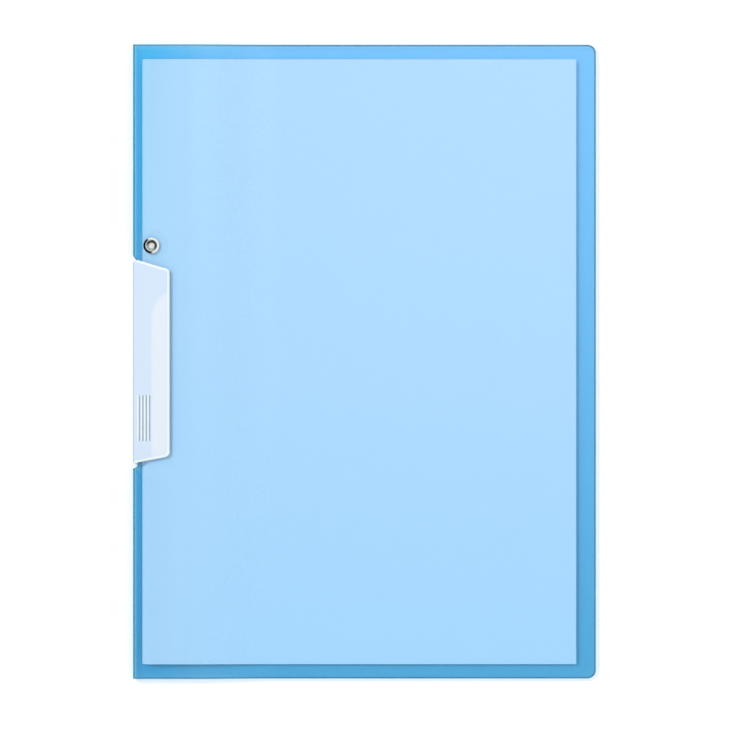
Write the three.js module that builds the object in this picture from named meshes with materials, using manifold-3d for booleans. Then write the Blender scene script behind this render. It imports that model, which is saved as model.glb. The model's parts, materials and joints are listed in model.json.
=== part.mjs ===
// A4 report folder with a swinging clip, lying closed on a table round a stack of paper.
// Millimetres, +Z up. The front cover faces up, +X points from the spine to the open side and +Y up the
// page. The origin is in the middle, level with the table.
//
// One polypropylene sheet is folded into a back cover, a spine wall and a front cover. A moulded clip
// grips the spine side: its back leg lies under the back cover, its front leg on the front cover, and the
// web between them fills a cutout in the fold. A tongue on the web runs inside the fold to an eyelet in
// the front cover. The clip swings about that eyelet, out past the spine, and lets the paper go.

import * as THREE from "three";
import { mergeVertices } from "three/addons/utils/BufferGeometryUtils.js";
import Module from "manifold-3d";

const wasm = await Module();
wasm.setup();

// Paper: A4 sheets in a stack that leans a little to the open side
const PAPER_WIDTH = 210;
const PAPER_HEIGHT = 297;
const PAPER_CALIPER = 0.1;
const PAPER_SHEETS = 30;
const STACK_LEAN = 3; // how far the top sheet lies to the right of the bottom one
const LAY_GAP = 0.1; // air between the stack and each cover

// Folder sheet
const SHEET_THICKNESS = 0.4;
const END_MARGIN = 7; // covers past the paper, at the head and at the foot
const OPEN_MARGIN = 9.6; // covers past the paper, on the open side
const CORNER_RADIUS = 4; // the four free corners
const FOLD_RADIUS = 0.9; // outside of both spine folds
const HINGE_STRIP_WIDTH = 23.5; // from the spine to the line that the front cover flexes along
const HINGE_GAP = 0.3;
const RAMP_DELAY = 3; // from the flex line to where the covers start to settle
const RAMP_LENGTH = 45; // along which they settle from the clip's height to the table

// Clip
const CLIP_WIDTH = 18;
const CLIP_LENGTH = 98.4; // along the spine
const CLIP_DROP = 8.3; // from the eyelet's centre down to the top of the clip's spine side
const CLIP_TOP_SLANT = 16.5; // degrees, down to the right
const CLIP_BOTTOM_SLANT = 11; // degrees, up to the right
const CLIP_SHOULDER_WIDTH = 1.7; // small chamfer at the top left
const CLIP_SHOULDER_RISE = 1.3;
const CLIP_TOP_RADIUS = 1.2;
const CLIP_BOTTOM_RADIUS = 2;
const CLIP_BACK_RADIUS = 1.1; // where the web turns into each leg
const LEG_TIP_RADIUS = 0.5;
const LEG_THICKNESS = 1.4;
const WEB_THICKNESS = 2.2;
const PAPER_TO_WEB = 2.2;
const RUN_GAP = 0.15; // between the clip's three blades and the sheets that they slide on

// Grip ribs on the clip's front leg
const RIB_COUNT = 4;
const RIB_PITCH = 1.65;
const RIB_WIDTH = 0.8;
const RIB_HEIGHT = 0.3;
const RIB_LENGTH = 22.5;
const RIB_INSET = 2.6; // from the spine to the first rib's middle
const RIB_END = 10.8; // from the clip's foot up to the ribs

// Tongue inside the fold
const TONGUE_THICKNESS = 1;
const TONGUE_STRIP_WIDTH = 8.8; // along the lower part of the web
const TONGUE_HEAD_LENGTH = 14.5; // full-width part, below the clip's top
const TONGUE_SWEEP = 13.7; // over which the head narrows to the strip
const NECK_START = 0.3; // the neck's edges, to the right of the eyelet's centre
const NECK_END = 6.5;

// Eyelet and the swing about it
const EYELET_INSET = 9; // from the spine
const EYELET_DEPTH = 98.6; // from the head of the folder
const EYELET_BORE_RADIUS = 2.2;
const EYELET_WALL = 0.3;
const EYELET_FLANGE_RADIUS = 3.9;
const EYELET_FLANGE_HEIGHT = 0.45;
const EYELET_ROLL_RADIUS = 3.4; // its rolled end under the tongue
const EYELET_ROLL_HEIGHT = 0.3;
const EYELET_SEAT_GAP = 0.05;
const EYELET_SHEET_GAP = 0.2; // round its barrel in the front cover
const EYELET_TONGUE_GAP = 0.3; // round its barrel in the tongue
const RECESS_CLEARANCE = 0.4; // round its rolled end
const SWING_CLEARANCE = 0.3;
const CUTOUT_ARC_RISE = 1.2; // how far the cutout's upper arc passes outside the spine edge
const CUTOUT_CLEARANCE = 0.4; // from the web to the cutout's long side

const CURVE_STEPS = 12;
const EYELET_STEPS = 48;
const RAMP_STEPS = 14;
const BEYOND = 5; // how far a cutting tool reaches past what it cuts

// Heights at the spine, from the table up
const stackThickness = PAPER_CALIPER * PAPER_SHEETS;
const backUnderside = LEG_THICKNESS + RUN_GAP;
const pocketFloor = backUnderside + SHEET_THICKNESS;
const paperUnderside = pocketFloor + LAY_GAP;
const tongueUnderside = paperUnderside + stackThickness + RUN_GAP;
const tongueTop = tongueUnderside + TONGUE_THICKNESS;
const pocketCeiling = tongueTop + RUN_GAP;
const stripTop = pocketCeiling + SHEET_THICKNESS;
const frontLegUnderside = stripTop + RUN_GAP;
const clipTop = frontLegUnderside + LEG_THICKNESS;

// Heights past the ramp, where the back cover lies on the table
const settledPaper = SHEET_THICKNESS + LAY_GAP;
const settledFront = settledPaper + stackThickness + LAY_GAP;

// Places in plan
const paperInset = WEB_THICKNESS + PAPER_TO_WEB;
const folderWidth = paperInset + PAPER_WIDTH + STACK_LEAN + OPEN_MARGIN;
const folderHeight = PAPER_HEIGHT + 2 * END_MARGIN;
const spine = -folderWidth / 2;
const openSide = folderWidth / 2;
const head = folderHeight / 2;
const foot = -folderHeight / 2;
const flexLine = spine + HINGE_STRIP_WIDTH;
const rampStart = flexLine + RAMP_DELAY;
const rampEnd = rampStart + RAMP_LENGTH;
const eyeletX = spine + EYELET_INSET;
const eyeletY = head - EYELET_DEPTH;
const clipHead = eyeletY - CLIP_DROP;
const clipFoot = clipHead - CLIP_LENGTH;
const clipRight = spine + CLIP_WIDTH;
const cutoutDepth = WEB_THICKNESS + CUTOUT_CLEARANCE;
const cutoutArcRadius = EYELET_INSET + CUTOUT_ARC_RISE;
const swingRadius = cutoutArcRadius + SWING_CLEARANCE;
const tongueDiscRadius = EYELET_INSET - SHEET_THICKNESS - SWING_CLEARANCE;
const barrelRadius = EYELET_BORE_RADIUS + EYELET_WALL;

// A closed geometry as a solid.
function solid(geometry) {
  const bare = geometry.clone();
  bare.deleteAttribute("normal");
  bare.deleteAttribute("uv");
  const merged = mergeVertices(bare);
  return new wasm.Manifold(
    new wasm.Mesh({
      numProp: 3,
      vertProperties: merged.attributes.position.array,
      triVerts: new Uint32Array(merged.index.array),
    }),
  );
}

function named(name, made, material) {
  const { vertProperties, triVerts } = made.getMesh();
  const geometry = new THREE.BufferGeometry()
    .setAttribute("position", new THREE.BufferAttribute(vertProperties, 3))
    .setIndex(new THREE.BufferAttribute(triVerts, 1));
  geometry.computeVertexNormals();
  const mesh = new THREE.Mesh(geometry, material);
  mesh.name = name;
  return mesh;
}

// A plan outline as a plate from one height to another.
function plate(shape, bottom, top) {
  const options = { depth: top - bottom, bevelEnabled: false, curveSegments: CURVE_STEPS };
  return solid(new THREE.ExtrudeGeometry(shape, options).translate(0, 0, bottom));
}

// A section in X and Z, run along Y from one place to another.
function section(shape, from, to) {
  const options = { depth: to - from, bevelEnabled: false, curveSegments: CURVE_STEPS };
  return solid(new THREE.ExtrudeGeometry(shape, options).rotateX(Math.PI / 2).translate(0, to, 0));
}

function round(x, y, radius, bottom, top, steps = EYELET_STEPS) {
  const height = top - bottom;
  return solid(
    new THREE.CylinderGeometry(radius, radius, height, steps)
      .rotateX(Math.PI / 2)
      .translate(x, y, bottom + height / 2),
  );
}

// A polygon of [x, y, radius] corners, anticlockwise. A radius gives way where its sides are too short.
function roundedShape(corners) {
  const shape = new THREE.Shape();
  corners.forEach(([x, y, wanted], i) => {
    const corner = new THREE.Vector2(x, y);
    const [beforeX, beforeY] = corners.at(i - 1);
    const [afterX, afterY] = corners[(i + 1) % corners.length];
    const before = new THREE.Vector2(beforeX, beforeY).sub(corner);
    const after = new THREE.Vector2(afterX, afterY).sub(corner);
    const room = Math.min(before.length(), after.length()) / 2;
    before.normalize();
    after.normalize();
    const half = Math.acos(before.dot(after)) / 2;
    const radius = Math.min(wanted, room * Math.tan(half));
    const reach = radius / Math.tan(half);
    const start = corner.clone().addScaledVector(before, reach);
    const end = corner.clone().addScaledVector(after, reach);
    if (i === 0) shape.moveTo(start.x, start.y);
    else shape.lineTo(start.x, start.y);
    if (radius > 0) {
      const middle = before.add(after).normalize().multiplyScalar(radius / Math.sin(half)).add(corner);
      const angleOf = (p) => Math.atan2(p.y - middle.y, p.x - middle.x);
      const inward = start.clone().sub(corner).cross(end.clone().sub(corner)) > 0;
      shape.absarc(middle.x, middle.y, radius, angleOf(start), angleOf(end), inward);
    }
  });
  return shape;
}

// 0 at the spine and 1 where the covers have settled on the table.
function settled(x) {
  const share = THREE.MathUtils.clamp((x - rampStart) / (rampEnd - rampStart), 0, 1);
  return (1 - Math.cos(Math.PI * share)) / 2;
}

const backUnder = (x) => THREE.MathUtils.lerp(backUnderside, 0, settled(x));
const backTop = (x) => backUnder(x) + SHEET_THICKNESS;
const paperUnder = (x) => THREE.MathUtils.lerp(paperUnderside, settledPaper, settled(x));
const paperTop = (x) => paperUnder(x) + stackThickness;
const frontUnder = (x) => THREE.MathUtils.lerp(pocketCeiling, settledFront, settled(x));
const frontTop = (x) => frontUnder(x) + SHEET_THICKNESS;

// Draws a height function from one x to another, with steps on the ramp only.
function follow(shape, heightOf, from, to) {
  const ramp = Array.from({ length: RAMP_STEPS + 1 }, (_, i) =>
    THREE.MathUtils.lerp(rampStart, rampEnd, i / RAMP_STEPS),
  );
  const low = Math.min(from, to);
  const high = Math.max(from, to);
  const places = [low, ...ramp.filter((x) => x > low && x < high), high];
  if (from > to) places.reverse();
  for (const x of places) shape.lineTo(x, heightOf(x));
}

// Both covers in plan: square at the spine, rounded on the open side
function coverOutline() {
  return roundedShape([
    [spine, foot, 0],
    [openSide, foot, CORNER_RADIUS],
    [openSide, head, CORNER_RADIUS],
    [spine, head, 0],
  ]);
}

// The cutout in the fold. Its upper end is an arc about the eyelet, which the clip's web swings past.
function spineCutout() {
  const shape = new THREE.Shape();
  const inner = spine + cutoutDepth;
  const angleAt = (x) => Math.PI + Math.acos((eyeletX - x) / cutoutArcRadius);
  const upperEnd = eyeletY + cutoutArcRadius * Math.sin(angleAt(spine));
  shape.moveTo(spine - BEYOND, upperEnd);
  shape.lineTo(spine, upperEnd);
  shape.absarc(eyeletX, eyeletY, cutoutArcRadius, angleAt(spine), angleAt(inner), false);
  shape.lineTo(inner, clipFoot);
  shape.absarc(spine, clipFoot, cutoutDepth, 0, -Math.PI / 2, true);
  shape.lineTo(spine - BEYOND, clipFoot - cutoutDepth);
  return plate(shape, -BEYOND, clipTop + BEYOND);
}

// Back cover, spine wall and the strip of front cover as far as the flex line
function folderBack() {
  const stripEnd = flexLine - HINGE_GAP / 2;
  const inner = FOLD_RADIUS - SHEET_THICKNESS;
  const foldX = spine + FOLD_RADIUS;
  const lowerFold = backUnderside + FOLD_RADIUS;
  const upperFold = stripTop - FOLD_RADIUS;
  const shape = new THREE.Shape();
  shape.moveTo(stripEnd, stripTop);
  shape.lineTo(foldX, stripTop);
  shape.absarc(foldX, upperFold, FOLD_RADIUS, Math.PI / 2, Math.PI, false);
  shape.absarc(foldX, lowerFold, FOLD_RADIUS, Math.PI, 1.5 * Math.PI, false);
  follow(shape, backUnder, foldX, openSide);
  follow(shape, backTop, openSide, foldX);
  shape.absarc(foldX, lowerFold, inner, 1.5 * Math.PI, Math.PI, true);
  shape.absarc(foldX, upperFold, inner, Math.PI, Math.PI / 2, true);
  shape.lineTo(stripEnd, pocketCeiling);
  return section(shape, foot, head)
    .intersect(plate(coverOutline(), -BEYOND, clipTop + BEYOND))
    .subtract(spineCutout())
    .subtract(round(eyeletX, eyeletY, barrelRadius + EYELET_SHEET_GAP, tongueTop, clipTop));
}

// The front cover past the flex line
function frontCover() {
  const start = flexLine + HINGE_GAP / 2;
  const shape = new THREE.Shape();
  shape.moveTo(start, frontUnder(start));
  follow(shape, frontUnder, start, openSide);
  follow(shape, frontTop, openSide, start);
  return section(shape, foot, head).intersect(plate(coverOutline(), -BEYOND, clipTop + BEYOND));
}

function paperStack() {
  const left = spine + paperInset;
  const shape = new THREE.Shape();
  shape.moveTo(left, paperUnder(left));
  follow(shape, paperUnder, left, left + PAPER_WIDTH);
  follow(shape, paperTop, left + PAPER_WIDTH + STACK_LEAN, left + STACK_LEAN);
  return section(shape, -PAPER_HEIGHT / 2, PAPER_HEIGHT / 2);
}

// The outline that both legs of the clip share
function legOutline() {
  const peakX = spine + CLIP_SHOULDER_WIDTH;
  const peakY = clipHead + CLIP_SHOULDER_RISE;
  const topFall = (clipRight - peakX) * Math.tan(THREE.MathUtils.degToRad(CLIP_TOP_SLANT));
  const bottomRise = CLIP_WIDTH * Math.tan(THREE.MathUtils.degToRad(CLIP_BOTTOM_SLANT));
  return roundedShape([
    [spine, clipFoot, 0],
    [clipRight, clipFoot + bottomRise, CLIP_BOTTOM_RADIUS],
    [clipRight, peakY - topFall, CLIP_TOP_RADIUS],
    [peakX, peakY, 0],
    [spine, clipHead, 0],
  ]);
}

// The clip's two legs and web in section, open to the right
function clipSection() {
  const web = spine + WEB_THICKNESS;
  return roundedShape([
    [spine, 0, CLIP_BACK_RADIUS],
    [clipRight, 0, LEG_TIP_RADIUS],
    [clipRight, LEG_THICKNESS, LEG_TIP_RADIUS],
    [web, LEG_THICKNESS, 0],
    [web, frontLegUnderside, 0],
    [clipRight, frontLegUnderside, LEG_TIP_RADIUS],
    [clipRight, clipTop, LEG_TIP_RADIUS],
    [spine, clipTop, CLIP_BACK_RADIUS],
  ]);
}

// Below the head, the tongue narrows in a sweep to a strip along the web.
function tongueOutline() {
  const sweepTop = clipHead - TONGUE_HEAD_LENGTH;
  const sweepFoot = sweepTop - TONGUE_SWEEP;
  const stripRight = spine + TONGUE_STRIP_WIDTH;
  const shape = new THREE.Shape();
  shape.moveTo(spine + WEB_THICKNESS / 2, clipHead + CLIP_SHOULDER_RISE);
  shape.lineTo(spine + WEB_THICKNESS / 2, clipFoot);
  shape.lineTo(stripRight, clipFoot);
  shape.lineTo(stripRight, sweepFoot);
  shape.quadraticCurveTo(stripRight, (sweepFoot + sweepTop) / 2, clipRight, sweepTop);
  shape.lineTo(clipRight, clipHead + CLIP_SHOULDER_RISE);
  return shape;
}

// The disc round the eyelet hangs on the tongue by a neck to the right of the slot that clears the spine.
function tongue() {
  const neckLeft = eyeletX + NECK_START;
  const neckRight = eyeletX + NECK_END;
  const neckFoot = clipHead - CLIP_WIDTH / 2;
  const neck = roundedShape([
    [neckLeft, neckFoot, 0],
    [neckRight, neckFoot, 0],
    [neckRight, eyeletY, 0],
    [neckLeft, eyeletY, 0],
  ]);
  const body = plate(tongueOutline(), tongueUnderside, tongueTop)
    .intersect(plate(legOutline(), tongueUnderside - BEYOND, tongueTop + BEYOND))
    .subtract(round(eyeletX, eyeletY, swingRadius, tongueUnderside - BEYOND, tongueTop + BEYOND));
  const recessRadius = EYELET_ROLL_RADIUS + RECESS_CLEARANCE;
  const recessTop = tongueUnderside + EYELET_ROLL_HEIGHT + EYELET_SEAT_GAP + RUN_GAP;
  return body
    .add(plate(neck, tongueUnderside, tongueTop))
    .add(round(eyeletX, eyeletY, tongueDiscRadius, tongueUnderside, tongueTop))
    .subtract(round(eyeletX, eyeletY, barrelRadius + EYELET_TONGUE_GAP, 0, clipTop))
    .subtract(round(eyeletX, eyeletY, recessRadius, 0, recessTop));
}

// One half-round rib, sunk a little into the leg's face
function rib(index) {
  const middle = spine + RIB_INSET + index * RIB_PITCH;
  const shape = new THREE.Shape();
  shape.moveTo(middle - RIB_WIDTH / 2, clipTop - LEG_THICKNESS / 2);
  shape.lineTo(middle + RIB_WIDTH / 2, clipTop - LEG_THICKNESS / 2);
  shape.lineTo(middle + RIB_WIDTH / 2, clipTop);
  shape.absellipse(middle, clipTop, RIB_WIDTH / 2, RIB_HEIGHT, 0, Math.PI, false, 0);
  return section(shape, clipFoot + RIB_END, clipFoot + RIB_END + RIB_LENGTH);
}

function swingClip() {
  const peak = clipHead + CLIP_SHOULDER_RISE;
  const betweenLegs = round(eyeletX, eyeletY, swingRadius, LEG_THICKNESS, frontLegUnderside);
  let clip = section(clipSection(), clipFoot - BEYOND, peak + BEYOND)
    .intersect(plate(legOutline(), -BEYOND, clipTop + BEYOND))
    .subtract(betweenLegs)
    .add(tongue());
  for (let i = 0; i < RIB_COUNT; i += 1) clip = clip.add(rib(i));
  return clip;
}

// A pressed eyelet: domed flange on the cover, thin barrel, end rolled out under the tongue
function eyelet() {
  const seat = stripTop + EYELET_SEAT_GAP;
  const rollTop = tongueUnderside + EYELET_SEAT_GAP + EYELET_ROLL_HEIGHT;
  const rollMiddle = rollTop - EYELET_ROLL_HEIGHT / 2;
  const domeMiddle = (EYELET_BORE_RADIUS + EYELET_FLANGE_RADIUS) / 2;
  const domeHalf = (EYELET_FLANGE_RADIUS - EYELET_BORE_RADIUS) / 2;
  const profile = [
    new THREE.Vector2(EYELET_BORE_RADIUS, rollMiddle),
    new THREE.Vector2(barrelRadius, rollTop - EYELET_ROLL_HEIGHT),
  ];
  for (let i = 0; i <= CURVE_STEPS / 2; i += 1) {
    const angle = -Math.PI / 2 + (Math.PI * i) / (CURVE_STEPS / 2);
    const reach = (Math.cos(angle) * EYELET_ROLL_HEIGHT) / 2;
    const across = EYELET_ROLL_RADIUS - EYELET_ROLL_HEIGHT / 2;
    const up = rollMiddle + (Math.sin(angle) * EYELET_ROLL_HEIGHT) / 2;
    profile.push(new THREE.Vector2(across + reach, up));
  }
  profile.push(
    new THREE.Vector2(barrelRadius, rollTop),
    new THREE.Vector2(barrelRadius, seat),
  );
  for (let i = 0; i <= CURVE_STEPS; i += 1) {
    const angle = (Math.PI * i) / CURVE_STEPS;
    const across = domeMiddle + domeHalf * Math.cos(angle);
    profile.push(new THREE.Vector2(across, seat + EYELET_FLANGE_HEIGHT * Math.sin(angle)));
  }
  profile.push(profile[0].clone());
  const geometry = new THREE.LatheGeometry(profile, EYELET_STEPS);
  return solid(geometry.rotateX(Math.PI / 2).translate(eyeletX, eyeletY, 0));
}

const bluePolypropylene = new THREE.MeshStandardMaterial({
  color: 0x9ccdf5,
  roughness: 0.35,
  metalness: 0,
  transparent: true,
  opacity: 0.55,
});
const whitePolypropylene = new THREE.MeshStandardMaterial({
  color: 0xe6f0fb,
  roughness: 0.4,
  metalness: 0,
  transparent: true,
  opacity: 0.85,
});
const nickelPlate = new THREE.MeshStandardMaterial({ color: 0xc9c9c6, roughness: 0.25, metalness: 1 });
const officePaper = new THREE.MeshStandardMaterial({ color: 0xfafaf7, roughness: 0.9, metalness: 0 });

const folder = new THREE.Group();
folder.add(
  named("folder_back", folderBack(), bluePolypropylene),
  named("front_cover", frontCover(), bluePolypropylene),
  named("swing_clip", swingClip(), whitePolypropylene),
  named("eyelet", eyelet(), nickelPlate),
  named("paper_stack", paperStack(), officePaper),
);

export default folder;
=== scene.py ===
"""The looks of an A4 report folder with a swinging clip, closed on a table with paper in it."""

import json
import math
import random

import bmesh
import bpy
from mathutils import Matrix, Vector


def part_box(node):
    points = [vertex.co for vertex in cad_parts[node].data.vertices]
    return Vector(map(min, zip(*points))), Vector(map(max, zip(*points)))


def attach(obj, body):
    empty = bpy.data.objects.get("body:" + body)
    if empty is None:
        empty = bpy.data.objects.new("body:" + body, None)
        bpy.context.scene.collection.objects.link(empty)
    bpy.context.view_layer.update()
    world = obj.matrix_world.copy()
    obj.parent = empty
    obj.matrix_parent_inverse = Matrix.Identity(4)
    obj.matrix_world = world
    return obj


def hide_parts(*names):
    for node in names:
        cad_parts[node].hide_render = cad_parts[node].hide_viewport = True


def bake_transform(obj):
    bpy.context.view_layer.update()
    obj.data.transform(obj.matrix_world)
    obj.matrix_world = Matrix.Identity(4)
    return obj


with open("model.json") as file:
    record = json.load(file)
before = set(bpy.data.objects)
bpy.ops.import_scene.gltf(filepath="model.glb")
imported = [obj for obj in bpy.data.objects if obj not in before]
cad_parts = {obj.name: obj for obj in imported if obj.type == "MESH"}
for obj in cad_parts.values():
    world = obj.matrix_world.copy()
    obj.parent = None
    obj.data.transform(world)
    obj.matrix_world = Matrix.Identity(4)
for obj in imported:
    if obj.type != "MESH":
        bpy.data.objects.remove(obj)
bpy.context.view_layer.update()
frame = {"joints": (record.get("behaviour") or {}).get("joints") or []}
joints = {joint["name"]: joint for joint in frame["joints"]}

MM = 0.001

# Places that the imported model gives
FOLDER_LOW, FOLDER_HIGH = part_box("folder_back")
COVER_LOW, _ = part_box("front_cover")
CLIP_LOW, CLIP_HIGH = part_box("swing_clip")
PAPER_LOW, PAPER_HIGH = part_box("paper_stack")
EYELET_LOW, EYELET_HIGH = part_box("eyelet")
SPINE, OPEN_SIDE = FOLDER_LOW.x, FOLDER_HIGH.x
FOOT, HEAD = FOLDER_LOW.y, FOLDER_HIGH.y
FLEX_LINE = joints["cover_hinge"]["pos_m"][0]
EYELET = Vector(joints["clip_swing"]["pos_m"])

# Sheet, as in the part's source
SHEET = 0.4 * MM
FOLD_RADIUS = 0.9 * MM
CORNER_RADIUS = 4 * MM
CUT_EDGE = 0.5 * MM
RAMP_START = FLEX_LINE + 3 * MM
RAMP_END = RAMP_START + 45 * MM
RAMP_STEPS = 28
FOLD_STEPS = 6

# Heights at the spine
LEG = 1.4 * MM
RUN_GAP = 0.15 * MM
LAY_GAP = 0.1 * MM
BACK_UNDERSIDE = LEG + RUN_GAP
STRIP_TOP = FOLDER_HIGH.z
LEG_UNDERSIDE = STRIP_TOP + RUN_GAP
LEG_TOP = LEG_UNDERSIDE + LEG

# Clip. Its outline, web and tongue are as in the part's source, and the rim is the scene's own.
CLIP_RIGHT = CLIP_HIGH.x
CLIP_FOOT = CLIP_LOW.y
CLIP_HEAD = EYELET.y - 8.3 * MM
SHOULDER_WIDTH = 1.7 * MM
SHOULDER_RISE = 1.3 * MM
TOP_SLANT = math.radians(16.5)
BOTTOM_SLANT = math.radians(11)
FOOT_CORNER = 2 * MM
HEAD_CORNER = 1.2 * MM
WEB = 2.2 * MM
WEB_BEND = 1.1 * MM
CUTOUT_DEPTH = WEB + 0.4 * MM
CUTOUT_ARC = EYELET.x - SPINE + 1.2 * MM
SWING_RADIUS = CUTOUT_ARC + 0.3 * MM
TONGUE = 1 * MM
TONGUE_STRIP = 8.8 * MM
SWEEP_TOP = CLIP_HEAD - 14.5 * MM
SWEEP_FOOT = SWEEP_TOP - 13.7 * MM
TONGUE_DISC = EYELET.x - SPINE - SHEET - 0.3 * MM
TONGUE_TOP = STRIP_TOP - SHEET - RUN_GAP
NECK_START = EYELET.x + 0.3 * MM
NECK_END = EYELET.x + 6.5 * MM
NECK_FOOT = CLIP_HEAD - 9 * MM
RIM_WIDTH = 1.1 * MM
RIM_DROP = 0.35 * MM

# Grip: ribs as in the part's source, each with a fine groove on its right. The ribs are painted whiter, a
# painted highlight, and the grooves darker, a painted shade.
RIBS = 4
RIB_INSET = 2.6 * MM
RIB_PITCH = 1.65 * MM
RIB_RADIUS = 0.4 * MM
RIB_HEIGHT = 0.3 * MM
RIB_LENGTH = 22.5 * MM
RIB_END = 10.8 * MM
GROOVE_SHIFT = 0.82 * MM
GROOVE_RADIUS = 0.3 * MM
GROOVE_RAISE = 0.03 * MM

# Eyelet
BARREL = 2.5 * MM
FLANGE = (EYELET_HIGH.x - EYELET_LOW.x) / 2
ROLL_HEIGHT = 0.3 * MM
ROLL_MIDDLE = 3.25 * MM
THROAT = 1.55 * MM
DOME_STEPS = 12
ROLL_STEPS = 8

# Paper
SHEETS_OF_PAPER = 30
STACK_LEAN = 3 * MM
SLACK = 0.12 * MM  # how far a sheet may lie from its place


# Small tools


def linear(code):
    """An sRGB hex code as linear red, green, blue and alpha."""
    channels = [int(code[i : i + 2], 16) / 255 for i in (0, 2, 4)]
    return (*[c / 12.92 if c <= 0.04045 else ((c + 0.055) / 1.055) ** 2.4 for c in channels], 1.0)


def add(tree, kind, inputs=None, **settings):
    """A new node with its settings, and its inputs as values or as links from other nodes."""
    made = tree.nodes.new(kind)
    for name, value in settings.items():
        setattr(made, name, value)
    for name, value in (inputs or {}).items():
        if isinstance(value, bpy.types.NodeSocket):
            tree.links.new(value, made.inputs[name])
        else:
            made.inputs[name].default_value = value
    return made


def material(name):
    made = bpy.data.materials.new(name)
    made.use_nodes = True
    made.node_tree.nodes.clear()
    return made, made.node_tree


def thin_gloss(tree, inner, gloss):
    """Clear coat reflection of polypropylene, IOR 1.49, the same from either side of the film."""
    facing = add(tree, "ShaderNodeLayerWeight", {"Blend": 0.5}).outputs["Facing"]
    slant = add(tree, "ShaderNodeMath", {0: facing, 1: 5.0}, operation="POWER")
    mirror = add(tree, "ShaderNodeMapRange", {"Value": slant.outputs[0], "To Min": 0.039, "To Max": 1.0})
    return add(tree, "ShaderNodeMixShader", {"Fac": mirror.outputs["Result"], 1: inner, 2: gloss})


def surface(tree, shader):
    out = add(tree, "ShaderNodeOutputMaterial")
    tree.links.new(shader, out.inputs["Surface"])


def piece(name, bm, *materials, sharp=30):
    """The finished bmesh as an object, smooth but for its sharp edges."""
    mesh = bpy.data.meshes.new(name)
    for face in bm.faces:
        face.smooth = True
    bm.to_mesh(mesh)
    bm.free()
    mesh.set_sharp_from_angle(angle=math.radians(sharp))
    for m in materials:
        mesh.materials.append(m)
    made = bpy.data.objects.new(name, mesh)
    bpy.context.scene.collection.objects.link(made)
    return made


def joined(base, *others, operation="UNION"):
    """The base with the others added to it or cut from it. The others are used up."""
    for other in others:
        cut = base.modifiers.new("cut", "BOOLEAN")
        cut.object = other
        cut.operation = operation
        cut.solver = "EXACT"
        cut.material_mode = "TRANSFER"
    bpy.context.view_layer.update()
    made = bpy.data.meshes.new_from_object(base.evaluated_get(bpy.context.evaluated_depsgraph_get()))
    base.modifiers.clear()
    base.data = made
    for other in others:
        bpy.data.objects.remove(other)
    return base


def mixed(a, b, share):
    return a + (b - a) * share


def settled(x):
    """0 at the spine and 1 where the covers have settled on the table."""
    share = min(max((x - RAMP_START) / (RAMP_END - RAMP_START), 0), 1)
    return (1 - math.cos(math.pi * share)) / 2


def back_under(x):
    return mixed(BACK_UNDERSIDE, 0, settled(x))


def front_top(x):
    return mixed(STRIP_TOP, COVER_LOW.z + SHEET, settled(x))


def paper_under(x):
    at_spine = BACK_UNDERSIDE + SHEET + LAY_GAP
    return mixed(at_spine, SHEET + LAY_GAP, settled(x))


# Materials


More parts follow.
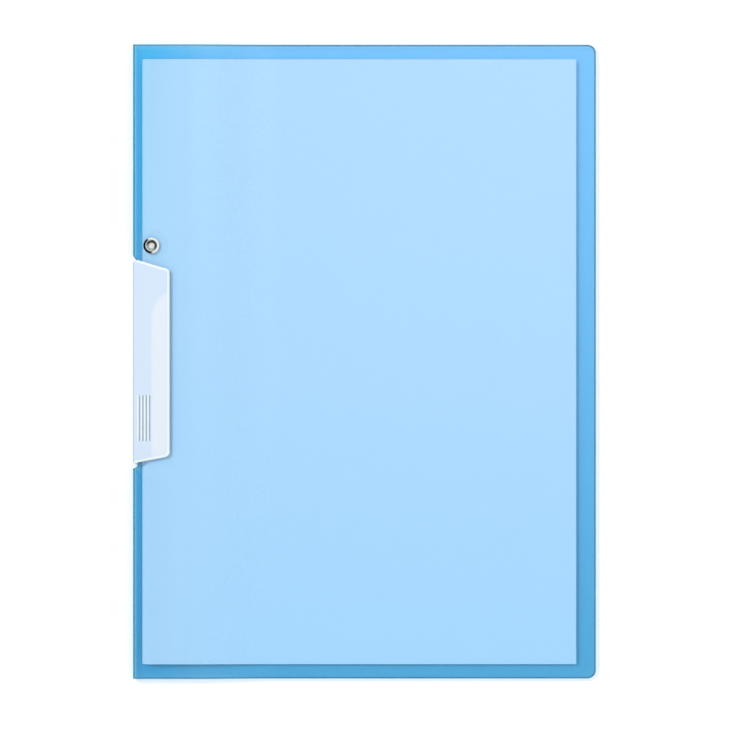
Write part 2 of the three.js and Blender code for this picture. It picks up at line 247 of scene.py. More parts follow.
def blue_film(name, tints, body, scatter, grain_from=None):
    """Extruded polypropylene film, dyed a clear light blue. It lets most light through and tints it,
    scatters a little in its own thickness, and its rolled face carries a soft broad gloss. tints has one
    clear tint, or four for the head and foot of the open side and then of the fold, whose differences are
    a painted shade, darker towards the foot and towards the fold."""
    made, tree = material(name)
    place = add(tree, "ShaderNodeTexCoord").outputs["Object"]
    split = add(tree, "ShaderNodeSeparateXYZ", {"Vector": place})
    grain_width = 0.45 * MM
    grain = add(tree, "ShaderNodeTexNoise", {"Vector": place, "Scale": 1 / grain_width, "Detail": 2.0})
    depth = 0.25
    haze_share = scatter
    if grain_from is not None:
        # The matt emboss starts at the flex line: the strip by the spine is smooth.
        full = grain_from + 2 * MM
        start = add(
            tree,
            "ShaderNodeMapRange",
            {"Value": split.outputs["X"], "From Min": grain_from, "From Max": full, "To Max": depth},
        )
        depth = start.outputs["Result"]
        height = add(tree, "ShaderNodeMath", {0: grain.outputs["Fac"], 1: 0.5}, operation="SUBTRACT")
        speckle = add(tree, "ShaderNodeMath", {0: height.outputs[0], 1: depth}, operation="MULTIPLY")
        haze_share = add(
            tree,
            "ShaderNodeMath",
            {0: speckle.outputs[0], 1: 1.6, 2: scatter},
            operation="MULTIPLY_ADD",
            use_clamp=True,
        ).outputs[0]
    bump = add(
        tree,
        "ShaderNodeBump",
        {"Height": grain.outputs["Fac"], "Strength": depth, "Distance": 0.02 * MM},
    )
    rough = add(
        tree,
        "ShaderNodeMapRange",
        {"Value": grain.outputs["Fac"], "To Min": 0.09, "To Max": 0.15},
    )
    gloss = add(
        tree,
        "ShaderNodeBsdfGlossy",
        {"Color": (1, 1, 1, 1), "Roughness": rough.outputs["Result"], "Normal": bump.outputs["Normal"]},
    )
    clear = add(tree, "ShaderNodeBsdfTransparent", {"Color": linear(tints[0])})
    if len(tints) > 1:
        # Painted shade: the clear tint darkens towards the foot and towards the fold.
        down = add(
            tree, "ShaderNodeMapRange", {"Value": split.outputs["Y"], "From Min": HEAD, "From Max": FOOT}
        )
        painted_shade_to_foot = add(tree, "ShaderNodeMath", {0: down.outputs["Result"], 1: 1.5}, operation="POWER")
        fold = add(
            tree, "ShaderNodeMapRange", {"Value": split.outputs["X"], "From Min": -60 * MM, "From Max": SPINE}
        )
        painted_shade_sides = [
            add(
                tree,
                "ShaderNodeMix",
                {"Factor": painted_shade_to_foot.outputs[0], "A": linear(head), "B": linear(foot)},
                data_type="RGBA",
            ).outputs["Result"]
            for head, foot in (tints[:2], tints[2:])
        ]
        across = add(
            tree,
            "ShaderNodeMix",
            {"Factor": fold.outputs["Result"], "A": painted_shade_sides[0], "B": painted_shade_sides[1]},
            data_type="RGBA",
        )
        tree.links.new(across.outputs["Result"], clear.inputs["Color"])
    dull = add(tree, "ShaderNodeBsdfDiffuse", {"Color": linear(body), "Normal": bump.outputs["Normal"]})
    through = add(tree, "ShaderNodeBsdfTranslucent", {"Color": linear(body)})
    haze = add(tree, "ShaderNodeMixShader", {"Fac": 0.5, 1: dull.outputs[0], 2: through.outputs[0]})
    filled = add(tree, "ShaderNodeMixShader", {"Fac": haze_share, 1: clear.outputs[0], 2: haze.outputs[0]})
    surface(tree, thin_gloss(tree, filled.outputs[0], gloss.outputs[0]).outputs[0])
    return made


def milky_plastic(name, body, share, onward=0.25, right_tone=None, coat=True):
    """Injection moulded natural polypropylene: milky white, with light going on through it."""
    made, tree = material(name)
    place = add(tree, "ShaderNodeTexCoord").outputs["Object"]
    grain = add(tree, "ShaderNodeTexNoise", {"Vector": place, "Scale": 1 / (0.8 * MM), "Detail": 3.0})
    bump = add(
        tree,
        "ShaderNodeBump",
        {"Height": grain.outputs["Fac"], "Strength": 0.15, "Distance": 0.02 * MM},
    )
    dull = add(tree, "ShaderNodeBsdfDiffuse", {"Color": linear(body), "Normal": bump.outputs["Normal"]})
    through = add(tree, "ShaderNodeBsdfTranslucent", {"Color": linear(body)})
    if right_tone is not None:
        # The leg is lighter to the right of the tongue; a quarter ellipse bounds the lighter part above.
        right_tone_width = CLIP_RIGHT - SPINE - TONGUE_STRIP
        split = add(tree, "ShaderNodeSeparateXYZ", {"Vector": place})
        across = add(
            tree,
            "ShaderNodeMapRange",
            {"Value": split.outputs["X"], "From Min": CLIP_RIGHT, "From Max": CLIP_RIGHT - right_tone_width},
            clamp=False,
        )
        up = add(
            tree,
            "ShaderNodeMapRange",
            {"Value": split.outputs["Y"], "From Min": SWEEP_FOOT, "From Max": SWEEP_TOP, "To Max": 1.0},
            clamp=False,
        )
        above = add(tree, "ShaderNodeMath", {0: up.outputs["Result"], 1: 0.0}, operation="MAXIMUM")
        spot = add(tree, "ShaderNodeCombineXYZ", {"X": across.outputs["Result"], "Y": above.outputs[0]})
        reach = add(tree, "ShaderNodeVectorMath", {0: spot.outputs[0]}, operation="LENGTH")
        outside = add(
            tree,
            "ShaderNodeMapRange",
            {"Value": reach.outputs["Value"], "From Min": 0.86, "From Max": 1.04},
        )
        tone = add(
            tree,
            "ShaderNodeMix",
            {"Factor": outside.outputs["Result"], "A": linear(right_tone), "B": linear(body)},
            data_type="RGBA",
        )
        tree.links.new(tone.outputs["Result"], dull.inputs["Color"])
        tree.links.new(tone.outputs["Result"], through.inputs["Color"])
    milk = add(tree, "ShaderNodeMixShader", {"Fac": onward, 1: dull.outputs[0], 2: through.outputs[0]})
    clear = add(tree, "ShaderNodeBsdfTransparent", {"Color": linear("FFFFFF")})
    both = add(tree, "ShaderNodeMixShader", {"Fac": share, 1: clear.outputs[0], 2: milk.outputs[0]})
    if coat:
        gloss = add(
            tree,
            "ShaderNodeBsdfGlossy",
            {"Color": (1, 1, 1, 1), "Roughness": 0.3, "Normal": bump.outputs["Normal"]},
        )
        both = thin_gloss(tree, both.outputs[0], gloss.outputs[0])
    surface(tree, both.outputs[0])
    return made


def nickel_plate(name, body, shaded=None):
    """Deep-drawn steel with bright nickel plate: a neutral mirror, softened a little by handling. In the
    bore its colour is darker, a painted shade, and darker still on the side towards the head, a painted
    shadow."""
    made, tree = material(name)
    place = add(tree, "ShaderNodeTexCoord").outputs["Object"]
    wear = add(tree, "ShaderNodeTexNoise", {"Vector": place, "Scale": 1 / (0.6 * MM), "Detail": 4.0})
    rough = add(
        tree,
        "ShaderNodeMapRange",
        {"Value": wear.outputs["Fac"], "To Min": 0.08, "To Max": 0.2},
    )
    metal = add(
        tree,
        "ShaderNodeBsdfPrincipled",
        {"Base Color": linear(body), "Metallic": 1.0, "Roughness": rough.outputs["Result"]},
    )
    # Painted shadow: in the bore the colour darkens to near black on the side towards the head.
    if shaded is not None:
        from_middle = add(tree, "ShaderNodeVectorMath", {0: place, 1: EYELET}, operation="SUBTRACT")
        side = add(
            tree,
            "ShaderNodeVectorMath",
            {0: from_middle.outputs["Vector"], 1: Vector((0.45, 0.9, 0))},
            operation="DOT_PRODUCT",
        )
        shade = add(
            tree,
            "ShaderNodeMapRange",
            {"Value": side.outputs["Value"], "From Min": -1.2 * MM, "From Max": 0.1 * MM},
        )
        tone = add(
            tree,
            "ShaderNodeMix",
            {"Factor": shade.outputs["Result"], "A": linear(body), "B": linear(shaded)},
            data_type="RGBA",
        )
        tree.links.new(tone.outputs["Result"], metal.inputs["Base Color"])
    surface(tree, metal.outputs[0])
    return made


def office_paper():
    """Uncoated bright white office paper: fully matt, with a faint cloudy fibre."""
    made, tree = material("uncoated_office_paper")
    place = add(tree, "ShaderNodeTexCoord").outputs["Object"]
    fibre = add(tree, "ShaderNodeTexNoise", {"Vector": place, "Scale": 1 / (1.2 * MM), "Detail": 6.0})
    tone = add(
        tree,
        "ShaderNodeMix",
        {"Factor": fibre.outputs["Fac"], "A": linear("FBFCFD"), "B": linear("FFFFFF")},
        data_type="RGBA",
    )
    sheet = add(
        tree,
        "ShaderNodeBsdfPrincipled",
        {"Base Color": tone.outputs["Result"], "Roughness": 0.9, "Specular IOR Level": 0.2},
    )
    surface(tree, sheet.outputs[0])
    return made


# Folder sheet, die-cut flat and then folded

BACK_RUN = OPEN_SIDE - (SPINE + FOLD_RADIUS)
FOLD_RUN = FOLD_RADIUS * math.pi / 2
WALL_RUN = STRIP_TOP - BACK_UNDERSIDE - 2 * FOLD_RADIUS
LOWER_FOLD = BACK_RUN
WALL_START = LOWER_FOLD + FOLD_RUN
UPPER_FOLD = WALL_START + WALL_RUN
FRONT_START = UPPER_FOLD + FOLD_RUN
SHEET_RUN = FRONT_START + BACK_RUN


def folded(run):
    """Where a point of the flat sheet's outer face goes in X and Z. run starts at the back's open side."""
    fold_x = SPINE + FOLD_RADIUS
    if run <= LOWER_FOLD:
        x = OPEN_SIDE - run
        return x, back_under(x)
    if run <= WALL_START:
        turn = (run - LOWER_FOLD) / FOLD_RADIUS
        return fold_x - FOLD_RADIUS * math.sin(turn), BACK_UNDERSIDE + FOLD_RADIUS * (1 - math.cos(turn))
    if run <= UPPER_FOLD:
        return SPINE, BACK_UNDERSIDE + FOLD_RADIUS + run - WALL_START
    if run <= FRONT_START:
        turn = (run - UPPER_FOLD) / FOLD_RADIUS
        return fold_x - FOLD_RADIUS * math.cos(turn), STRIP_TOP - FOLD_RADIUS * (1 - math.sin(turn))
    x = fold_x + run - FRONT_START
    return x, front_top(x)


def front_run(x):
    return FRONT_START + x - SPINE - FOLD_RADIUS


def back_run(x):
    return OPEN_SIDE - x


def closed_loop(bm, points):
    """A closed run of edges through the points, and its vertices."""
    verts = [bm.verts.new(point) for point in points]
    return verts, [bm.edges.new(pair) for pair in zip(verts, verts[1:] + verts[:1])]


def cutout_outline():
    """The clip's cutout in the flat sheet: an arc about the eyelet above, a rounded end below."""
    inner = SPINE + CUTOUT_DEPTH
    steps = 8
    over_front = [mixed(front_run(inner), FRONT_START, i / steps) for i in range(steps)]
    over_fold = [mixed(FRONT_START, UPPER_FOLD, i / steps) for i in range(steps)]
    under_fold = [mixed(WALL_START, LOWER_FOLD, i / steps) for i in range(steps)]
    under_back = [mixed(LOWER_FOLD, back_run(inner), i / steps) for i in range(steps + 1)]
    runs = over_front + over_fold + [UPPER_FOLD] + under_fold + under_back
    reach = [EYELET.x - folded(run)[0] for run in runs]
    upper = [(run, EYELET.y - math.sqrt(CUTOUT_ARC**2 - r**2)) for run, r in zip(runs, reach)]
    deep = [min(folded(run)[0] - SPINE, CUTOUT_DEPTH) for run in runs]
    lower = [(run, CLIP_FOOT - math.sqrt(CUTOUT_DEPTH**2 - d**2)) for run, d in zip(runs, deep)]
    return upper + lower[::-1]


def die_cut_sheet():
    """The flat sheet with its cutout, eyelet hole, rounded corners and a narrow rim along each cut."""
    bm = bmesh.new()
    blank = ((0, FOOT), (SHEET_RUN, FOOT), (SHEET_RUN, HEAD), (0, HEAD))
    corners = [bm.verts.new((x, y, 0)) for x, y in blank]
    bm.faces.new(corners)
    bmesh.ops.bevel(
        bm, geom=corners, offset=CORNER_RADIUS, segments=8, profile=0.5, affect="VERTICES", material=-1
    )
    bmesh.ops.delete(bm, geom=bm.faces[:], context="FACES_ONLY")
    closed_loop(bm, [(run, y, 0) for run, y in cutout_outline()])
    bmesh.ops.create_circle(
        bm,
        segments=32,
        radius=BARREL + 0.2 * MM,
        matrix=Matrix.Translation((front_run(EYELET.x), EYELET.y, 0)),
    )
    bmesh.ops.triangle_fill(bm, edges=bm.edges[:], use_beauty=True, normal=(0, 0, 1))
    bmesh.ops.recalc_face_normals(bm, faces=bm.faces[:])
    if sum(face.normal.z for face in bm.faces) < 0:
        bmesh.ops.reverse_faces(bm, faces=bm.faces[:])
    rim = bmesh.ops.inset_region(
        bm, faces=bm.faces[:], thickness=CUT_EDGE, use_boundary=True, use_even_offset=True
    )
    for face in rim["faces"]:
        face.material_index = 1
    return bm


def sheet_piece(name, start, end, *materials):
    """The stretch of the sheet from one run to another, folded to its place."""
    bm = die_cut_sheet()
    ramp = [mixed(RAMP_START, RAMP_END, i / RAMP_STEPS) for i in range(RAMP_STEPS + 1)]
    crease = [FLEX_LINE + i * 0.15 * MM for i in range(-6, 7)]
    folds = [i * FOLD_RUN / FOLD_STEPS for i in range(FOLD_STEPS + 1)]
    cuts = [back_run(x) for x in ramp] + [front_run(x) for x in ramp + crease]
    cuts += [LOWER_FOLD + f for f in folds] + [UPPER_FOLD + f for f in folds]
    for cut in cuts:
        everything = bm.verts[:] + bm.edges[:] + bm.faces[:]
        bmesh.ops.bisect_plane(bm, geom=everything, plane_co=(cut, 0, 0), plane_no=(1, 0, 0))
    for limit, outward in ((start, -1), (end, 1)):
        if 0 < limit < SHEET_RUN:
            bmesh.ops.bisect_plane(
                bm,
                geom=bm.verts[:] + bm.edges[:] + bm.faces[:],
                plane_co=(limit, 0, 0),
                plane_no=(outward, 0, 0),
                clear_outer=True,
            )
    # The bends are seen edge on, so they look as deep as the cut edges, but for the last of each bend.
    flat_end = 0.2 * FOLD_RUN
    for face in bm.faces:
        run = face.calc_center_median().x
        if LOWER_FOLD + flat_end < run < WALL_START or UPPER_FOLD < run < FRONT_START - flat_end:
            face.material_index = 1
    for vert in bm.verts:
        vert.co.x, vert.co.z = folded(vert.co.x)
    made = piece(name, bm, *materials)
    wall = made.modifiers.new("film thickness", "SOLIDIFY")
    wall.thickness = SHEET
    wall.offset = -1
    wall.use_even_offset = True
    wall.material_offset_rim = 1
    return made


# Clip


def plan_plate(name, points, bottom, top, *materials, rounded=(), rim=None):
    """A plate with a plan outline. rounded lists (corner index, radius), and rim the width and drop of a
    chamfer round both faces."""
    bm = bmesh.new()
    verts = [bm.verts.new((x, y, bottom)) for x, y in points]
    bm.faces.new(verts)
    for index, radius in rounded:
        corner = verts[index]
        bmesh.ops.bevel(
            bm, geom=[corner], offset=radius, segments=8, profile=0.5, affect="VERTICES", material=-1
        )
    grown = bmesh.ops.extrude_face_region(bm, geom=bm.faces[:])
    lifted = [v for v in grown["geom"] if isinstance(v, bmesh.types.BMVert)]
    bmesh.ops.translate(bm, vec=(0, 0, top - bottom), verts=lifted)
    bmesh.ops.recalc_face_normals(bm, faces=bm.faces[:])
    if rim:
        width, drop = rim
        for height, away in ((bottom, -1), (top, 1)):
            flat = [f for f in bm.faces if f.normal.z * away > 0.9]
            for vert in {v for f in flat for v in f.verts}:
                vert.co.z -= away * drop
            bmesh.ops.inset_region(bm, faces=flat, thickness=width, depth=drop, use_even_offset=True)
    return piece(name, bm, *materials)


def round_plate(name, radius, bottom, top, *materials):
    bm = bmesh.new()
    bmesh.ops.create_cone(
        bm,
        cap_ends=True,
        segments=64,
        radius1=radius,
        radius2=radius,
        depth=top - bottom,
        matrix=Matrix.Translation((EYELET.x, EYELET.y, (bottom + top) / 2)),
    )
    return piece(name, bm, *materials)


def leg_points():
    peak_x = SPINE + SHOULDER_WIDTH
    peak_y = CLIP_HEAD + SHOULDER_RISE
    return [
        (SPINE, CLIP_FOOT),
        (CLIP_RIGHT, CLIP_FOOT + (CLIP_RIGHT - SPINE) * math.tan(BOTTOM_SLANT)),
        (CLIP_RIGHT, peak_y - (CLIP_RIGHT - peak_x) * math.tan(TOP_SLANT)),
        (peak_x, peak_y),
        (SPINE, CLIP_HEAD),
    ]


def clip_section(plastic):
    """Both legs and the web in one long section, open to the right."""
    bm = bmesh.new()
    web = SPINE + WEB
    right = CLIP_RIGHT
    low, high = CLIP_FOOT - 5 * MM, CLIP_HEAD + 5 * MM  # past both ends, for the outline to cut
    section = [
        (SPINE, 0),
        (right, 0),
        (right, LEG),
        (web, LEG),
        (web, LEG_UNDERSIDE),
        (right, LEG_UNDERSIDE),
        (right, LEG_TOP),
        (SPINE, LEG_TOP),
    ]
    verts = [bm.verts.new((x, low, z)) for x, z in section]
    bm.faces.new(verts)
    bmesh.ops.bevel(
        bm,
        geom=[verts[0], verts[-1]],
        offset=WEB_BEND,
        segments=8,
        profile=0.5,
        affect="VERTICES",
        material=-1,
    )
    grown = bmesh.ops.extrude_face_region(bm, geom=bm.faces[:])
    moved = [v for v in grown["geom"] if isinstance(v, bmesh.types.BMVert)]
    bmesh.ops.translate(bm, vec=(0, high - low, 0), verts=moved)
    bmesh.ops.recalc_face_normals(bm, faces=bm.faces[:])
    return piece("clip_section", bm, plastic)


def tongue_plate(plastic):
    """The thin tongue inside the fold, with the disc and neck that hang it on the eyelet."""
    under = TONGUE_TOP - TONGUE
    inside, strip = SPINE + WEB / 2, SPINE + TONGUE_STRIP
    start = Vector((strip, SWEEP_FOOT))
    bend = Vector((strip, (SWEEP_FOOT + SWEEP_TOP) / 2))
    end = Vector((CLIP_RIGHT, SWEEP_TOP))
    steps = [i / 10 for i in range(11)]
    sweep = [tuple(start * (1 - t) ** 2 + bend * 2 * t * (1 - t) + end * t**2) for t in steps]
    *_, top_right, top_left, _ = leg_points()
    points = [(inside, CLIP_FOOT + 1 * MM), (strip, CLIP_FOOT + 2 * MM), *sweep]
    points += [top_right, top_left, (inside, CLIP_HEAD)]
    body = plan_plate("tongue_body", points, under, TONGUE_TOP, plastic)
    # Cut a hair wider than the web's own room, so that the two walls do not lie in each other.
    swing_room = round_plate("swing_room", SWING_RADIUS + 0.02 * MM, 0, LEG_TOP, plastic)
    joined(body, swing_room, operation="DIFFERENCE")
    neck_foot = [(NECK_START, NECK_FOOT), (NECK_END, NECK_FOOT)]
    neck_head = [(NECK_END, EYELET.y), (NECK_START, EYELET.y)]
    neck = plan_plate("tongue_neck", neck_foot + neck_head, under, TONGUE_TOP, plastic)
    disc = round_plate("tongue_disc", TONGUE_DISC, under, TONGUE_TOP, plastic)
    joined(body, neck, disc)
    hole = round_plate("tongue_hole", BARREL + 0.3 * MM, 0, LEG_TOP, plastic)
    recess = round_plate("tongue_recess", 3.8 * MM, 0, under + 0.5 * MM, plastic)
    return joined(body, hole, recess, operation="DIFFERENCE")


def grip_bar(name, x, radius, raised, plastic):
    """A long half-round bar with rounded ends. Its widest line is at the leg's face, or raised above it."""
    middle = CLIP_FOOT + RIB_END + RIB_LENGTH / 2
    bm = bmesh.new()
    bmesh.ops.create_uvsphere(
        bm, u_segments=20, v_segments=12, radius=radius, matrix=Matrix.Rotation(math.pi / 2, 4, "X")
    )
    for vert in bm.verts:
        end = 1 if vert.co.y > 0 else -1
        vert.co.z *= RIB_HEIGHT / radius
        vert.co += Vector((x, middle + end * (RIB_LENGTH / 2 - radius), LEG_TOP + raised))
    return piece(name, bm, plastic)


def clip_moulding(leg_plastic, rim_highlight_plastic, tongue_plastic, groove_shade_plastic, bend_shade_plastic):
    """The whole clip in one closed mesh: legs, web, tongue, ribs and grooves."""
    body = clip_section(leg_plastic)
    # The outline's chamfer goes on past both faces, so that the faces end it at the rim's width.
    past = 0.03 * MM
    rim = (RIM_WIDTH * (RIM_DROP + past) / RIM_DROP, RIM_DROP + past)
    corners = ((1, FOOT_CORNER), (2, HEAD_CORNER))
    # The outline's walls and chamfer take the rim plastic, painted whiter: a painted highlight along the
    # clip's edge.
    outline = plan_plate(
        "clip_outline", leg_points(), -past, LEG_TOP + past, rim_highlight_plastic, rounded=corners, rim=rim
    )
    joined(body, outline, operation="INTERSECT")
    room = round_plate("web_room", SWING_RADIUS, LEG, LEG_UNDERSIDE, leg_plastic)
    joined(body, room, operation="DIFFERENCE")
    rib_places = [SPINE + RIB_INSET + RIB_PITCH * i for i in range(RIBS)]
    # The grooves take a darker plastic: a painted shade in them.
    groove = (GROOVE_RADIUS, GROOVE_RAISE, groove_shade_plastic)
    grooves = [grip_bar("grip_groove", x + GROOVE_SHIFT, *groove) for x in rib_places]
    # The ribs take the rim plastic too: a painted highlight.
    ribs = [grip_bar("grip_rib", x, RIB_RADIUS, 0, rim_highlight_plastic) for x in rib_places]
    joined(body, *grooves, operation="DIFFERENCE")
    joined(body, tongue_plate(tongue_plastic), *ribs)
    body.name = "clip_moulding"
    body.data.name = "clip_moulding"
    # Along the spine the rim keeps the leg's plastic, without the painted highlight, and the bend into the
    # web is painted greyer, a painted shade.
    plastics = body.data.materials
    plastics.append(bend_shade_plastic)
    leg, edge = plastics.find(leg_plastic.name), plastics.find(bend_shade_plastic.name)
    for face in body.data.polygons:
        x, _, z = face.normal
        if -0.97 < x < -0.55 and z > 0 and face.center.x < SPINE + 1 * MM:
            face.material_index = edge
        elif x < -0.15 and face.center.x < SPINE + RIM_WIDTH:
            face.material_index = leg
    body.data.shade_smooth()
    body.data.set_sharp_from_angle(angle=math.radians(35))
    return body


# Eyelet


def eyelet_ring(plate, bore_plate_painted_shade):
    """One drawn tube: a rolled dome on the cover, a short barrel, and an end rolled out under the tongue."""
    bm = bmesh.new()
    seat, top = STRIP_TOP + 0.05 * MM, EYELET_HIGH.z
    roll_low, roll_high = EYELET_LOW.z, EYELET_LOW.z + ROLL_HEIGHT
    crest, crest_half, crest_drop = FLANGE - 1.1 * MM, 0.32 * MM, 0.12 * MM
    turns = [math.pi * i / DOME_STEPS for i in range(DOME_STEPS + 1)]
    dome = [(crest + crest_half * math.cos(t), top - crest_drop * (1 - math.sin(t))) for t in turns]
    brim = [(FLANGE, seat), (FLANGE, seat + 0.04 * MM)]
    funnel = [(THROAT, seat - 0.9 * MM), (THROAT, roll_low + 0.1 * MM)]
    half = ROLL_HEIGHT / 2
    turns = [math.pi * (i / ROLL_STEPS - 0.5) for i in range(ROLL_STEPS + 1)]
    roll = [(ROLL_MIDDLE + half * math.cos(t), roll_low + half + half * math.sin(t)) for t in turns]
    profile = [*brim, *dome, *funnel, (BARREL, roll_low), *roll, (BARREL, roll_high), (BARREL, seat)]
    verts, edges = closed_loop(bm, [(EYELET.x + r, EYELET.y, z) for r, z in profile])
    bmesh.ops.spin(
        bm,
        geom=verts + edges,
        cent=EYELET,
        axis=(0, 0, 1),
        angle=2 * math.pi,
        steps=96,
        use_merge=True,
    )
    bmesh.ops.remove_doubles(bm, verts=bm.verts[:], dist=1e-6)
    bmesh.ops.recalc_face_normals(bm, faces=bm.faces[:])
    # The bore and the rolled end under the tongue take the darker plate: a painted shade.
    for face in bm.faces:
        middle = face.calc_center_median()
        inside = (middle.xy - EYELET.xy).length < crest - crest_half
        face.material_index = 1 if inside or middle.z < seat - 0.1 * MM else 0
    return piece("eyelet_ring", bm, plate, bore_plate_painted_shade, sharp=50)


# Paper


def paper_sheets(paper):
    """Thirty loose sheets, each bent over the ramp and shifted a little more to the open side."""
    random.seed(4)
    bm = bmesh.new()
    caliper = (PAPER_HIGH.z - paper_under(PAPER_LOW.x)) / SHEETS_OF_PAPER
    width = PAPER_HIGH.x - PAPER_LOW.x - STACK_LEAN
    height = PAPER_HIGH.y - PAPER_LOW.y
    for i in range(SHEETS_OF_PAPER):
        lean = STACK_LEAN * i / (SHEETS_OF_PAPER - 1)
        shift = Vector((random.uniform(0, SLACK), random.uniform(-SLACK, SLACK), 0))
        if i == SHEETS_OF_PAPER - 1:
            shift = Vector((0, 0, 0))
        middle = Vector((PAPER_LOW.x + width / 2 + lean, 0, 0))
        made = bmesh.ops.create_grid(bm, x_segments=64, y_segments=1, size=0.5)
        for vert in made["verts"]:
            vert.co.x *= width
            vert.co.y *= height - 2 * SLACK
            vert.co += middle + shift
            vert.co.x = min(vert.co.x, PAPER_HIGH.x)
            vert.co.z = paper_under(vert.co.x) + caliper * i
        faces = {f for v in made["verts"] for f in v.link_faces}
        grown = bmesh.ops.extrude_face_region(bm, geom=list(faces))
        lifted = [v for v in grown["geom"] if isinstance(v, bmesh.types.BMVert)]
        bmesh.ops.translate(bm, vec=(0, 0, caliper * 0.9), verts=lifted)
    bmesh.ops.recalc_face_normals(bm, faces=bm.faces[:])
    return piece("paper_sheets", bm, paper)


# Stage

PAGE_VIEW = 357.2 * MM  # what the frame takes in, across
VIEW_DROP = 1.4 * MM  # the frame's middle lies this far below the folder's
CAMERA_HEIGHT = 2.0


def white_floor():
    bm = bmesh.new()
    bmesh.ops.create_grid(bm, x_segments=1, y_segments=1, size=10)
    bmesh.ops.translate(bm, vec=(0, 0, -0.05 * MM), verts=bm.verts[:])
    made, tree = material("white_table")
    dull = add(tree, "ShaderNodeBsdfDiffuse", {"Color": linear("FDFDFD")})
    path = add(tree, "ShaderNodeLightPath")
    seen = add(tree, "ShaderNodeMath", {0: path.outputs["Is Camera Ray"], 1: path.outputs["Is Glossy Ray"]})
    seen_too = add(tree, "ShaderNodeMath", {0: seen.outputs[0], 1: path.outputs["Is Transmission Ray"]})
    lift = add(tree, "ShaderNodeMath", {0: seen_too.outputs[0], 1: 0.06}, operation="MULTIPLY")
    glow = add(tree, "ShaderNodeEmission", {"Strength": lift.outputs[0]})
    both = add(tree, "ShaderNodeAddShader", {0: dull.outputs[0], 1: glow.outputs[0]})
    surface(tree, both.outputs[0])
    floor = piece("floor", bm, made)


def sky_patch(tree, direction, toward, soft_from, soft_to):
    """1 round one direction of the sky and 0 away from it, with a soft edge between two distances."""
    middle = Vector(toward).normalized()
    apart = add(tree, "ShaderNodeVectorMath", {0: direction, 1: middle}, operation="DISTANCE")
    patch = add(
        tree,
        "ShaderNodeMapRange",
        {"Value": apart.outputs["Value"], "From Min": soft_to, "From Max": soft_from},
    )
    return patch.outputs["Result"]


def white_world():
    """An even white room. In reflections it has a dim ceiling with one bright panel, and a dark doorway."""
    world = bpy.data.worlds.new("white_room")
    world.use_nodes = True
    tree = world.node_tree
    tree.nodes.clear()
    path = add(tree, "ShaderNodeLightPath")
    seen = add(tree, "ShaderNodeMath", {0: path.outputs["Is Camera Ray"], 1: path.outputs["Is Glossy Ray"]})
    seen_too = add(
        tree, "ShaderNodeMath", {0: seen.outputs[0], 1: path.outputs["Is Transmission Ray"]}, use_clamp=True
    )
    level = add(tree, "ShaderNodeMapRange", {"Value": seen_too.outputs[0], "To Min": 0.74, "To Max": 1.0})
    direction = add(tree, "ShaderNodeTexCoord").outputs["Generated"]
    ceiling = sky_patch(tree, direction, (0, 0, 1), 0.27, 0.37)
    panel = sky_patch(tree, direction, (0.055, 0.1, 1), 0.03, 0.14)
    doorway = sky_patch(tree, direction, (-0.95, -0.25, 0.5), 0.95, 1.1)
    dimmed = add(tree, "ShaderNodeMath", {0: ceiling, 1: panel}, operation="SUBTRACT", use_clamp=True)
    dimming = 0.55  # how much of the ceiling's light its reflections lose
    dim_share = add(tree, "ShaderNodeMath", {0: dimmed.outputs[0], 1: dimming}, operation="MULTIPLY")
    dark_share = add(tree, "ShaderNodeMath", {0: dim_share.outputs[0], 1: doorway}, operation="MAXIMUM")
    in_gloss = add(
        tree,
        "ShaderNodeMath",
        {0: dark_share.outputs[0], 1: path.outputs["Is Glossy Ray"]},
        operation="MULTIPLY",
    )
    tone = add(
        tree,
        "ShaderNodeMix",
        {"Factor": in_gloss.outputs[0], "A": linear("FFFFFF"), "B": linear("101214")},
        data_type="RGBA",
    )
    sky = add(
        tree,
        "ShaderNodeBackground",
        {"Color": tone.outputs["Result"], "Strength": level.outputs["Result"]},
    )
    out = add(tree, "ShaderNodeOutputWorld")
    tree.links.new(sky.outputs[0], out.inputs["Surface"])
    bpy.context.scene.world = world


def lamp_at(name, kind, place, power, **settings):
    lamp = bpy.data.lights.new(name, kind)
    lamp.energy = power
    for setting, value in settings.items():
        setattr(lamp, setting, value)
    made = bpy.data.objects.new(name, lamp)
    made.visible_glossy = False
    made.location = place
    made.rotation_euler = (-Vector(place)).to_track_quat("-Z", "Y").to_euler()
    bpy.context.scene.collection.objects.link(made)


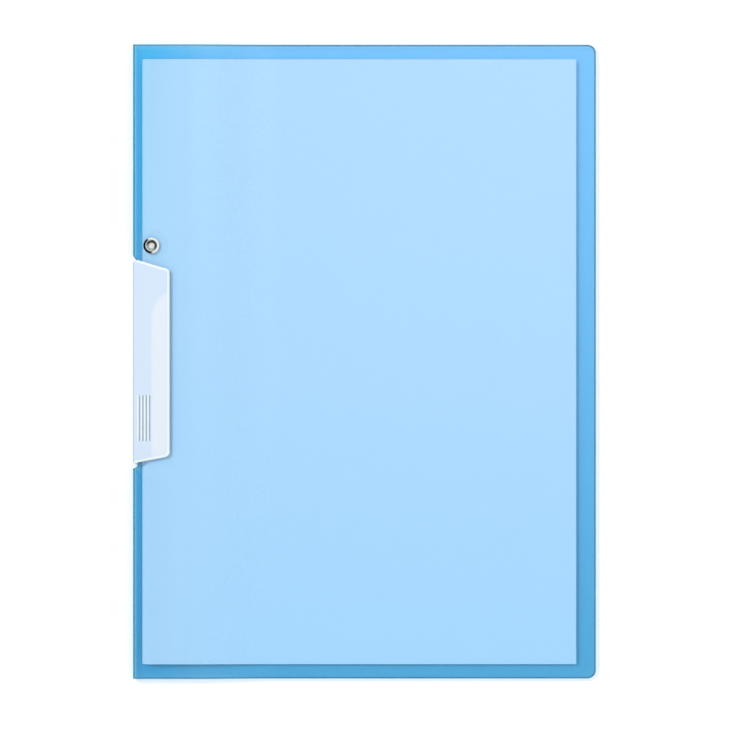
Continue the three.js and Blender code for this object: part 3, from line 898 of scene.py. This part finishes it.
def page_camera():
    lens = bpy.data.cameras.new("page_camera")
    lens.sensor_width = 36
    lens.lens = lens.sensor_width * CAMERA_HEIGHT / PAGE_VIEW
    lens.clip_end = 30
    made = bpy.data.objects.new("page_camera", lens)
    made.location = (0, -VIEW_DROP, STRIP_TOP + CAMERA_HEIGHT)
    bpy.context.scene.collection.objects.link(made)
    bpy.context.scene.camera = made


page_camera()
white_world()
white_floor()
lamp_at("key_upper_left", "SUN", (-0.6, 0.45, 1.25), 1.2, angle=math.radians(12))

# Four tints per film, for the head and foot of the open side and of the fold: their differences are painted
# shade, darker towards the foot and the fold.
BACK_TINTS_PAINTED_SHADE = ("E1F7FF", "CBEFF6", "C6F5FF", "C8EDF6")
FRONT_TINTS_PAINTED_SHADE = ("EBF7FF", "E7F6FF", "E9F7FF", "E9F6FF")
BLUE_BODY = "8CCBFF"
back_film = blue_film("blue_polypropylene_back_painted_shade", BACK_TINTS_PAINTED_SHADE, BLUE_BODY, 0.02)
front_film = blue_film("blue_polypropylene_front_painted_shade", FRONT_TINTS_PAINTED_SHADE, BLUE_BODY, 0.02, grain_from=FLEX_LINE)
cut_film = blue_film("blue_polypropylene_cut_edge", ("C0E3EE",), "5C9DB8", 0.2)

mid_wall = WALL_START + WALL_RUN / 2
back = sheet_piece("back_cover_and_spine", 0, mid_wall, back_film, cut_film)
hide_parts("folder_back")
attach(back, "folder")

front = sheet_piece("front_cover_sheet", mid_wall, SHEET_RUN, front_film, cut_film)
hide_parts("front_cover")
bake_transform(front)

clip = clip_moulding(
    milky_plastic("natural_polypropylene_leg", "DAECFF", 0.95, onward=0.04, right_tone="E9F4FF"),
    milky_plastic("natural_polypropylene_rim_painted_highlight", "F6FFFF", 0.97, onward=0.06),
    milky_plastic("clear_polypropylene_tongue", "F4FAFF", 0.03, coat=False),
    milky_plastic("natural_polypropylene_groove_painted_shade", "BFCFE0", 0.95, coat=False),
    milky_plastic("natural_polypropylene_bend_painted_shade", "CDD6DC", 0.97, coat=False),
)
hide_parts("swing_clip")
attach(clip, "clip")

bright_nickel = nickel_plate("nickel_plate", "ECEDEE")
bore_nickel_painted_shade = nickel_plate("nickel_in_bore_painted_shade", "B4BCBA", shaded="0C0E10")
ring = eyelet_ring(bright_nickel, bore_nickel_painted_shade)
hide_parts("eyelet")
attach(ring, "folder")

sheets = paper_sheets(office_paper())
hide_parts("paper_stack")
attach(sheets, "folder")

bpy.context.scene.view_settings.view_transform = "Standard"
# Light on its way down crosses both faces of up to five films and blades.
bpy.context.scene.cycles.transparent_max_bounces = 32
